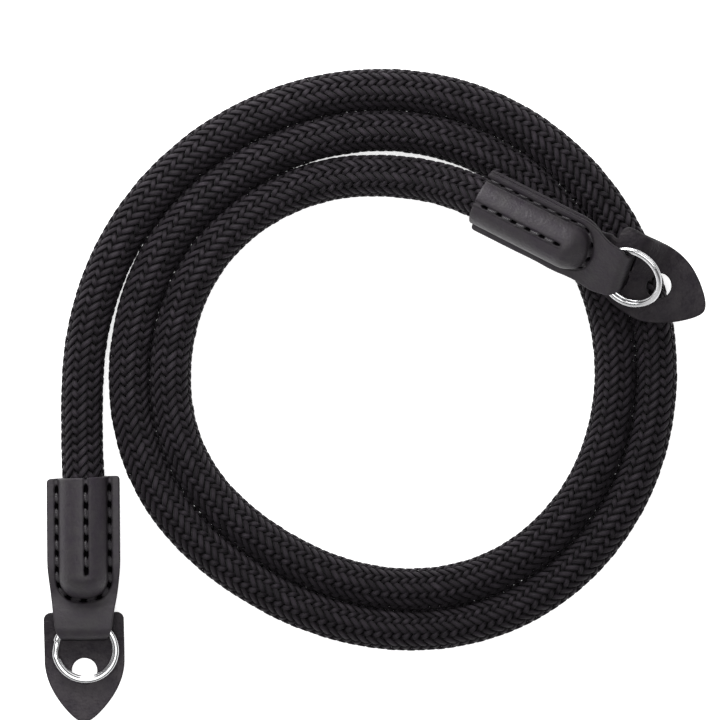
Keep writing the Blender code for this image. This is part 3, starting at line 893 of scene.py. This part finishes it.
def make_tab(side, finish):
    """One tab as a closed body: the tube of section loops, closed at both mouths between its two faces."""
    points, shade, rim = tab_points(side)
    rows, columns = points.shape[:2]
    quads, ends = mouth_faces()
    last = (rows - 1) * columns
    faces = [grid_faces(rows, columns, wrap_columns=True), quads, ends, last + quads[:, ::-1], last + ends[:, ::-1]]
    placed = from_fitting(side, points.reshape(-1, 3))
    mesh = make_mesh(f"tab_{side}", placed, faces, finish, {"shade": shade.ravel(), "rim": rim.ravel()})
    return make_piece(f"leather_tab_{side}", mesh, "strap", [f"tab_{side}"])


# %% [markdown]
# ## The leather's finish
#
# The leather is smooth, black and a little satiny, with a fine pebbled grain and faint creases. Its cut edges
# are painted and a touch darker, and painted shade makes the needle holes and the other places that a piece
# marks as shaded almost black. Two cell patterns of different size make the grain, because real grain has
# small pebbles grouped in larger ones. A bent wave gives the creases, and a cloud varies the height, the
# colour and the gloss.

# %% Leather finish
def leather_finish(name, colour, grain, roughness, mottle):
    """Pebbled satin leather on Object coordinates, darker at its painted edges and where painted shade is laid on.

    Height = small pebbles + groups of them + creases + cloud. The cloud also mixes a lighter, greener and a
    darker, redder tint of the colour, as far apart as the mottle says. Places of painted shade lose their gloss.
    """
    made, tree, shader = new_finish(name, colour, roughness, Specular_IOR_Level=0.3)
    place = add_node(tree, "ShaderNodeTexCoord").outputs["Object"]
    pebbles = add_node(tree, "ShaderNodeTexVoronoi", {"Vector": place, "Scale": 1900.0}, feature="SMOOTH_F1")
    groups = add_node(tree, "ShaderNodeTexVoronoi", {"Vector": place, "Scale": 700.0}, feature="SMOOTH_F1")
    cloud_inputs = {"Vector": place, "Scale": 300.0, "Detail": 7.0, "Roughness": 0.68}
    cloud = add_node(tree, "ShaderNodeTexNoise", cloud_inputs).outputs["Fac"]
    wave_inputs = {"Scale": 55.0, "Distortion": 14.0, "Detail": 4.0, "Detail Scale": 1.6, "Detail Roughness": 0.7}
    creases = add_node(
        tree, "ShaderNodeTexWave", {"Vector": place, **wave_inputs}, wave_profile="SIN", bands_direction="DIAGONAL"
    )
    small, large = pebbles.outputs["Distance"], groups.outputs["Distance"]
    fine = sum_up(tree, "ADD", times(tree, small, -0.6), times(tree, large, -0.5))
    folds = sum_up(tree, "ADD", times(tree, creases.outputs["Fac"], 0.5), times(tree, cloud, 1.2))
    bump(tree, shader, sum_up(tree, "ADD", fine, folds), grain, 0.00025)
    dark = add_node(tree, "ShaderNodeAttribute", attribute_name="shade").outputs["Fac"]
    rim = add_node(tree, "ShaderNodeAttribute", attribute_name="rim").outputs["Fac"]
    lighter = tuple((1.0 + mottle) * c * tint for c, tint in zip(colour, (1.0, 1.07, 0.95)))
    darker = tuple((1.0 - mottle) * c * tint for c, tint in zip(colour, (1.0, 0.92, 1.06)))
    hide = mix_colours(tree, stretch(tree, cloud, 0.0, 1.0, 0.36, 0.64), darker, lighter)
    hide = mix_colours(tree, times(tree, rim, 0.45), hide, (0.006, 0.0055, 0.006))
    # painted shade: where the shade attribute is high, the colour goes almost to black and the gloss goes too
    hide = mix_colours(tree, times(tree, dark, 0.96), hide, (0.0006, 0.0005, 0.0006))
    tree.links.new(hide, shader.inputs["Base Color"])
    bare = sum_up(tree, "SUBTRACT", 1.0, sum_up(tree, "MAXIMUM", dark, times(tree, rim, 0.6)))
    tree.links.new(times(tree, bare, 0.3), shader.inputs["Specular IOR Level"])
    tree.links.new(stretch(tree, cloud, roughness - 0.06, roughness + 0.08), shader.inputs["Roughness"])
    return made


tab_leather = leather_finish("tab_leather", (0.024, 0.0198, 0.0246), 0.35, 0.5, 0.16)
tabs = {side: make_tab(side, tab_leather) for side in ("left", "right")}

# %% [markdown]
# ## The stitches
#
# The thread is waxed and flat, of the leather's own grey. Each stitch comes out of one hole and goes down the
# next, leans a little across the seam because the two holes are slits, and stands barely above its groove.
# All stitches of a tab, front and back, are one piece of small closed tubes.

# %% Stitches
THREAD_COLOUR = (0.0155, 0.0128, 0.016)
THREAD_HALF_WIDTH = 0.38
THREAD_HALF_HEIGHT = 0.22
THREAD_HALF_LENGTH = 1.4
THREAD_LEAN = 0.16
THREAD_SINK = {1: 0.07, -1: 0.23}  # under the leather's face, on the front and on the back
THREAD_DIVE = 0.55


def stitch_points(side, face, line, first_hole):
    """All stitches along one seam: stitches by rings by the points of a ring.

    A ring's middle follows the seam, sinks at both ends as the fourth power of the way from its middle, and
    leans across the seam. Its size is an ellipse that thins towards both ends.
    """
    holes = np.arange(first_hole, line[-1, 2] - STITCH + 0.3, STITCH)
    way = np.sin(np.linspace(-np.pi / 2, np.pi / 2, 11))[None, :]
    run = holes[:, None] + STITCH / 2 + THREAD_HALF_LENGTH * way
    along, across = [np.interp(run, line[:, 2], line[:, k]) for k in (0, 1)]
    heading = np.stack([np.gradient(along, axis=1), np.gradient(across, axis=1)], axis=-1)
    heading /= np.linalg.norm(heading, axis=-1)[..., None]
    lean = THREAD_LEAN * way[..., None] * np.stack([-heading[..., 1], heading[..., 0]], axis=-1)
    along, across = along + lean[..., 0], across + lean[..., 1]
    turn = np.linspace(0.0, 2.0 * np.pi, 10, endpoint=False)
    size = (1.0 - 0.62 * np.abs(way) ** 5)[..., None]
    wide = THREAD_HALF_WIDTH * size * np.cos(turn)
    tall = THREAD_HALF_HEIGHT * size * np.sin(turn)
    at_along = along[..., None] - heading[..., 1:] * wide
    at_across = across[..., None] + heading[..., :1] * wide
    points = layer_point(side, face, at_along, at_across, np.ones(at_along.shape))
    points[..., 2] += face * (tall - THREAD_SINK[face] - THREAD_DIVE * way[..., None] ** 4)
    along_thread = run[..., None] + 0 * wide
    # painted shade for the thread's two ends, where it dives into its holes
    painted_shade = np.abs(way[..., None]) ** 3
    return points, np.stack([along_thread, turn / (2 * np.pi) + 0 * along_thread, painted_shade + 0 * along_thread], axis=-1)


def make_stitches(side, finish):
    """Every stitch of a tab as one piece."""
    parts = [stitch_points(side, face, line, hole) for face in (1, -1) for line, hole in seam_lines(side)]
    points = np.concatenate([part[0] for part in parts])
    twist = np.concatenate([part[1] for part in parts])
    stitches, rings, corners = points.shape[:3]
    placed = from_fitting(side, points.reshape(-1, 3))
    faces = tube_faces(rings, corners, stitches)
    mesh = make_mesh(f"stitches_{side}", placed, faces, finish, {"twist": twist.reshape(-1, 3)})
    print("  ", stitches, "stitches")
    return make_piece(f"stitches_{side}", mesh, "strap")


def thread_finish():
    """Waxed thread: slanted ridges of its twist, and darkened by painted shade where it goes down into the leather."""
    made, tree, shader = new_finish("waxed_thread", THREAD_COLOUR, 0.5)
    twist = add_node(tree, "ShaderNodeAttribute", attribute_name="twist")
    run, turn, painted_shade = add_node(tree, "ShaderNodeSeparateXYZ", {"Vector": twist.outputs["Vector"]}).outputs
    slant = sum_up(tree, "ADD", times(tree, run, 14.0), times(tree, turn, 12.566))
    bump(tree, shader, sum_up(tree, "SINE", slant), 0.5, 0.00008)
    tree.links.new(mix_colours(tree, painted_shade, THREAD_COLOUR, (0.001, 0.0008, 0.001)), shader.inputs["Base Color"])
    return made


waxed_thread = thread_finish()
stitches = {side: make_stitches(side, waxed_thread) for side in ("left", "right")}

# %% [markdown]
# ## The guards
#
# A guard is a flat spade of the same hide, thicker than the tab, with a round hole over the camera's lug and a
# slit through which the tab's fold passes. It keeps the ring from scratching the camera. Its outline and its
# hole are joined by rays, so the grid closes round the hole like a ring, with both cut edges rounded, and then
# the whole sheet is bent along its middle line as the leather lies. The slit is cut last.

# %% Measures of a guard
GUARD_LEATHER = 1.3
GUARD_START = {"left": 33.9, "right": 34.9}
GUARD_LIFT = {"left": 2.01, "right": 2.65}
GUARD_SHIFT = {"left": -0.4, "right": -1.6}
GUARD_LENGTH = 27.9
GUARD_HALF_WIDTH = 10.05
GUARD_CORNER = 1.8
GUARD_SHOULDER = 12.1
SPADE_POWER = 0.85
TIP_RADIUS = 1.8
HOLE_AT = 14.9
HOLE_RADIUS = 3.17
SLIT_ALONG = {"left": (2.9, 7.0), "right": (2.9, 6.2)}
SLIT_ACROSS = {"left": (-5.5, 6.2), "right": (-5.8, 5.4)}
SLIT_ROUNDNESS = 0.35
SLIT_POINTS = 48
GUARD_CURL = {"left": 0.0, "right": 0.07}  # in radians for each millimetre across
# painted shade on each guard, given at its top edge and at its tip
GUARD_SHADE = {"left": (0.4, 0.0), "right": (0.5, 0.42)}  # how dark the hide is at the top edge and at the tip
GUARD_BEND = {
    # along, climb, roll, swing, in millimetres and degrees
    "left": ((0, -2, 0, 0.4), (3, -8, 0, 0.4), (8, -14, 0, 0.2), (12, -5, 0, -0.3), (15, 0, 0, -0.8), (28, 0, 0, -1.4)),
    "right": (
        (0, 12.5, 40, 0), (2.5, 10.5, 40, 0), (5.5, -18, 39, 0.5), (8, -32, 32, 1.5),
        (11, -28, 21, 2.5), (14, -13, 9, 2.6), (17, -2, 2, 0.6), (20, 0, 0, -1.8), (28, 0, 0, -3.5),
    ),
}
print(f"guards: {GUARD_LENGTH} mm long, {2 * GUARD_HALF_WIDTH} mm wide and {GUARD_LEATHER} mm thick")


# %% A guard's bend
def guard_spine(side, along):
    """Middle line, left and upward directions at distances along a guard, in its own level frame.

    The climb, roll and swing are read from the table, and the line is the running sum of the way ahead.
    """
    bend = np.array(GUARD_BEND[side], float)
    fine = np.linspace(0.0, GUARD_LENGTH, 400)
    climb, roll, swing = np.radians([soft_table(bend[:, (0, k)], fine, 1.0) for k in (1, 2, 3)])[..., None]
    flat = np.hstack([np.cos(swing), np.sin(swing), 0 * swing])
    left = np.hstack([-np.sin(swing), np.cos(swing), 0 * swing])
    ahead = flat * np.cos(climb) + np.array([0.0, 0.0, 1.0]) * np.sin(climb)
    across = left * np.cos(roll) + np.cross(ahead, left) * np.sin(roll)
    line = np.cumsum(ahead, axis=0) * (fine[1] - fine[0])
    fields = np.hstack([line, ahead, across])
    read = np.stack([np.interp(along, fine, column) for column in fields.T], axis=-1)
    line, ahead, across = read[..., :3], read[..., 3:6], read[..., 6:]
    top = np.cross(ahead, across)
    return line, across / np.linalg.norm(across, axis=-1)[..., None], top / np.linalg.norm(top, axis=-1)[..., None]


def from_guard(side, own):
    """Points in a guard's level frame, put in their place on the table."""
    start = np.array([GUARD_START[side], GUARD_SHIFT[side], GUARD_LIFT[side] + GUARD_LEATHER / 2])
    return own @ rotation(0.0, 0.0, TURN_DEG[side][2]).T + from_fitting(side, start)


def bent_guard(side, along, across, height):
    """Points of the flat guard, carried along its bent middle line and put in their place on the table.

    The raised left half curls down again near the top edge: it drops by half the curl times the square of
    the distance across, and draws in by a sixth of the curl squared times the cube.
    """
    line, left, top = guard_spine(side, along)
    curl = GUARD_CURL[side] * (1.0 - change(along, (7.0, 12.0)))
    raised = np.clip(across, 0.0, None)
    across, height = across - curl**2 * raised**3 / 6.0, height - curl * raised**2 / 2.0
    return from_guard(side, line + across[..., None] * left + height[..., None] * top)


guard_tips = {side: bent_guard(side, *np.array([[GUARD_LENGTH], [0.0], [0.0]])) for side in MOUTH}
print("tips lie at heights of", {side: round(float(tip[0, 2]), 1) for side, tip in guard_tips.items()}, "mm")


# %% A guard's outline
def guard_outline(count):
    """Points round the spade, even along it: rounded corners, straight sides, and sides that swing to the tip.

    Half-width = (1 - past^2)^0.85 of the full one, with past from 0 at the shoulder to 1 at the tip, lowered
    by a quarter circle at each corner. Near the tip it is the root of its own square plus the square of a
    small circle, which rounds the point.
    """
    taper = GUARD_LENGTH - GUARD_SHOULDER
    corner = GUARD_CORNER * (1 - np.cos(np.linspace(0, np.pi / 2, 60)))
    x = np.r_[corner, np.linspace(GUARD_CORNER, GUARD_SHOULDER, 60)[1:]]
    x = np.r_[x, GUARD_SHOULDER + taper * np.sin(np.linspace(0, np.pi / 2, 400))[1:]]
    past = np.clip((x - GUARD_SHOULDER) / taper, 0.0, 1.0)
    to_tip = GUARD_LENGTH - x
    round_tip = 2 * TIP_RADIUS * to_tip * np.exp(-to_tip / 2.2) * (to_tip < 16.0)
    spade = np.sqrt((GUARD_HALF_WIDTH * (1 - past**2.0) ** SPADE_POWER) ** 2 + round_tip)
    short = np.clip(GUARD_CORNER - x, 0.0, GUARD_CORNER)
    half = spade - GUARD_CORNER + np.sqrt(GUARD_CORNER**2 - short**2)
    flat_top = np.linspace(0.0, half[0], 60)[:-1]
    right = np.vstack([np.stack([0 * flat_top, flat_top], axis=-1), np.stack([x, half], axis=-1)])
    whole = np.vstack([right, (right * (1, -1))[::-1][1:-1]])
    closed = np.vstack([whole, whole[:1]])
    run = np.r_[0.0, np.cumsum(np.linalg.norm(np.diff(closed, axis=0), axis=1))]
    at = np.linspace(0.0, run[-1], count, endpoint=False)
    return np.stack([np.interp(at, run, closed[:, k]) for k in (0, 1)], axis=-1)


print("outline's reach:", guard_outline(300).max(axis=0).round(2), "mm")


# %% A guard's surface
def guard_grid(side):
    """The guard as a closed grid: rays round the hole by points round the leather's section on each ray.

    With each point go whether it is on a cut edge and how much painted shade darkens the hide there.
    """
    outline = guard_outline(300)
    away = outline - (HOLE_AT, 0.0)
    direction = away / np.linalg.norm(away, axis=1)[:, None]
    hole = (HOLE_AT, 0.0) + HOLE_RADIUS * direction
    length = np.linalg.norm(outline - hole, axis=1)[:, None]
    gone, level = rounded_edge(EDGE_COLUMNS)
    rim = 0.34
    face = np.linspace(0.0, 1.0, 22)
    flat = rim + face * (length - 2 * rim)
    from_hole = np.hstack([flat, length - rim + rim * gone, flat[:, ::-1], rim - rim * gone + 0 * length])
    levels = np.r_[0 * face + 1, level, 0 * face, level[::-1]]
    place = hole[:, None] + direction[:, None] * from_hole[..., None]
    height = GUARD_LEATHER * (levels - 0.5) + 0 * from_hole
    edges = np.r_[0 * face, 0 * level + 1, 0 * face, 0 * level + 1] + 0 * from_hole
    # painted shade runs from its top-edge value to its tip value
    top_shade, tip_shade = GUARD_SHADE[side]
    shade = top_shade + (tip_shade - top_shade) * change(place[..., 0], (5.0, 12.0))
    return bent_guard(side, place[..., 0], place[..., 1], height), edges, shade


# %% Guards
def slit_cutter(side):
    """The long hole for the tab's fold, as the points of a rounded block square to the guard's top edge.

    Along and across it is a superellipse: a cosine and a sine, each raised to a small power.
    """
    turn = np.linspace(0.0, 2 * np.pi, SLIT_POINTS, endpoint=False)
    (x_low, x_high), (y_low, y_high) = SLIT_ALONG[side], SLIT_ACROSS[side]
    x = (x_high + x_low) / 2 + (x_high - x_low) / 2 * signed_power(np.cos(turn), SLIT_ROUNDNESS)
    y = (y_high + y_low) / 2 + (y_high - y_low) / 2 * signed_power(np.sin(turn), SLIT_ROUNDNESS)
    line, left, top = [row[0] for row in guard_spine(side, np.array([0.0]))]
    ring = line + x[:, None] * np.cross(left, top) + y[:, None] * left
    return from_guard(side, np.concatenate([ring - 4.0 * top, ring + 4.0 * top]))


def make_guard(side, finish):
    """One guard, with its slit cut by an exact boolean that is applied at once."""
    points, edges, shade = guard_grid(side)
    faces = [grid_faces(*points.shape[:2], wrap_rows=True, wrap_columns=True)]
    fields = {"rim": edges.ravel(), "shade": shade.ravel()}
    mesh = make_mesh(f"guard_{side}", points.reshape(-1, 3), faces, finish, fields)
    block = make_mesh("cutter", slit_cutter(side), tube_faces(2, SLIT_POINTS), finish)
    cutter = bpy.data.objects.new("cutter", block)
    bpy.context.scene.collection.objects.link(cutter)
    made = make_piece(f"leather_guard_{side}", mesh, "strap", [f"guard_{side}"])
    step = made.modifiers.new("slit", "BOOLEAN")
    step.operation, step.solver, step.object = "DIFFERENCE", "EXACT", cutter
    bpy.context.view_layer.update()
    cut = bpy.data.meshes.new_from_object(made.evaluated_get(bpy.context.evaluated_depsgraph_get()))
    made.modifiers.clear()
    made.data = cut
    bpy.data.objects.remove(cutter)
    print(f"  guard_{side} after the cut:", len(cut.polygons), "faces")
    return made


guard_leather = leather_finish("guard_leather", (0.0278, 0.022, 0.0282), 0.8, 0.55, 0.38)
guards = {side: make_guard(side, guard_leather) for side in ("left", "right")}

# %% [markdown]
# ## The split rings
#
# A split ring is one length of flat sprung wire wound into two coils, so that a lug can be worked in between
# them. A torus would hide what it is. The wire's section is carried along the real path: two flat coils, a
# short jog where one passes over to the other, and the two cut ends on either side of the jog.

# %% Rings
RING_OUTER = 8.35
RING_INNER = 6.7
RING_WIRE = 0.85
RING_WIRE_GAP = 0.1
RING_CENTRE = {"left": (43.35, 0.1, 3.7), "right": (41.95, -1.95, 4.92)}
RING_TILT = {"left": 8.4, "right": 1.2}
RING_CUT = {"left": 270.0, "right": 185.0}
RING_JOG = math.radians(14.0)
RING_CUT_GAP = math.radians(3.0)
COIL_OFFSET = 0.14  # the lower coil is narrower than the mean by this, and the upper one wider
WIRE_POWER = 2.1


def wire_points(side):
    """The swept wire: places along it by places round its section, which is a superellipse of power 2.1.

    Between the coils its height and radius pass over by a smooth step, and at both ends it is rounded off.
    """
    turn = np.linspace(RING_JOG + RING_CUT_GAP, 4 * math.pi - RING_JOG - RING_CUT_GAP, 300)
    passed = smooth_step((turn - (2 * math.pi - RING_JOG)) / (2 * RING_JOG))
    height = (RING_WIRE + RING_WIRE_GAP) / 2 * (2 * passed - 1)
    radius = (RING_OUTER + RING_INNER) / 2 - COIL_OFFSET + 2 * COIL_OFFSET * passed
    round_it = np.linspace(0.0, 2 * math.pi, 24, endpoint=False)
    out = (RING_OUTER - RING_INNER - 2 * COIL_OFFSET) / 2 * signed_power(np.cos(round_it), 2 / WIRE_POWER)
    rise = RING_WIRE / 2 * signed_power(np.sin(round_it), 2 / WIRE_POWER)
    near_end = np.clip(np.minimum(turn - turn[0], turn[-1] - turn) / 0.045, 0.0, 1.0)
    size = (0.72 + 0.28 * np.sqrt(1 - (1 - near_end) ** 2))[:, None]
    angle = (turn + math.radians(RING_CUT[side]))[:, None]
    far = radius[:, None] + out * size
    own = np.stack([far * np.cos(angle), far * np.sin(angle), height[:, None] + rise * size], axis=-1)
    return from_fitting(side, own @ rotation(0.0, -RING_TILT[side], 0.0).T + RING_CENTRE[side])


def steel_finish():
    """Polished nickel: almost a mirror, with a slow cloud of fine wear in its gloss."""
    made, tree, shader = new_finish("ring_steel", (0.56, 0.56, 0.57), 0.16, Metallic=1.0)
    place = add_node(tree, "ShaderNodeTexCoord").outputs["Object"]
    wear_inputs = {"Vector": place, "Scale": 2600.0, "Detail": 6.0, "Roughness": 0.65}
    wear = add_node(tree, "ShaderNodeTexNoise", wear_inputs).outputs["Fac"]
    tree.links.new(stretch(tree, wear, 0.10, 0.27), shader.inputs["Roughness"])
    bump(tree, shader, wear, 0.02, 0.00003)
    tree.links.new(mix_colours(tree, wear, (0.57, 0.57, 0.58), (0.67, 0.67, 0.68)), shader.inputs["Base Color"])
    return made


def make_ring(side, finish):
    """One split ring, which rides on its own body."""
    points = wire_points(side)
    mesh = make_mesh(f"ring_{side}", points.reshape(-1, 3), tube_faces(*points.shape[:2]), finish)
    return make_piece(f"split_ring_{side}", mesh, f"{side}_split_ring", [f"ring_{side}"])


ring_steel = steel_finish()
rings = {side: make_ring(side, ring_steel) for side in ("left", "right")}

# %% [markdown]
# ## Table and light
#
# The strap lies on a plain white table under a soft lamp that stands beyond it, so the rope is lighter at the
# top of the picture and darker towards the bottom. A wide weak lamp hangs overhead, and the studio's walls are
# brighter low down, which is what the polished rings show.

# %% Table
table_finish, table_tree, table_shader = new_finish(
    "white_table", (0.86, 0.86, 0.86), 0.9, Emission_Color=(1.0, 1.0, 1.0, 1.0), Emission_Strength=0.7
)
fibres = add_node(table_tree, "ShaderNodeTexNoise", {"Scale": 300.0, "Detail": 3.0})
table_white = mix_colours(table_tree, fibres.outputs["Fac"], (0.84, 0.84, 0.84), (0.88, 0.88, 0.88))
table_tree.links.new(table_white, table_shader.inputs["Base Color"])
TABLE_HALF = 1.5
table_corners = [(x * TABLE_HALF, y * TABLE_HALF, 0.0) for x, y in ((-1, -1), (1, -1), (1, 1), (-1, 1))]
table_mesh = bpy.data.meshes.new("table")
table_mesh.from_pydata(table_corners, [], [(0, 1, 2, 3)])
table_mesh.materials.append(table_finish)
table = bpy.data.objects.new("table", table_mesh)
bpy.context.scene.collection.objects.link(table)
print("table:", 2 * TABLE_HALF, "m square")


# %% Lamps
def soft_lamp(name, place_at, aim, size, power):
    """A square soft lamp at a place, turned towards an aim, both in millimetres."""
    lamp = bpy.data.lights.new(name, "AREA")
    lamp.shape, lamp.size, lamp.energy = "SQUARE", size * MM, power
    made = bpy.data.objects.new(name, lamp)
    bpy.context.scene.collection.objects.link(made)
    made.location = Vector(place_at) * MM
    made.rotation_euler = (Vector(place_at) - Vector(aim)).to_track_quat("Z", "Y").to_euler()
    return made


soft_lamp("window", (-120.0, 270.0, 170.0), (0.0, 60.0, 0.0), 200.0, 1.5)
soft_lamp("ceiling", (-60.0, -60.0, 1300.0), (0.0, 0.0, 0.0), 1100.0, 11.0)
world = bpy.data.worlds.new("studio")
world.use_nodes = True
sky = world.node_tree
look = add_node(sky, "ShaderNodeSeparateXYZ", {"Vector": add_node(sky, "ShaderNodeTexCoord").outputs["Generated"]})
strength = stretch(sky, look.outputs["Z"], 0.9, 0.14, 0.2, 0.6, interpolation_type="SMOOTHSTEP")
sky.links.new(strength, sky.nodes["Background"].inputs["Strength"])
sky.nodes["Background"].inputs["Color"].default_value = (1.0, 1.0, 1.0, 1.0)
bpy.context.scene.world = world
bpy.context.scene.view_settings.view_transform = "Standard"
print("lamps:", [lamp.name for lamp in bpy.data.lights])
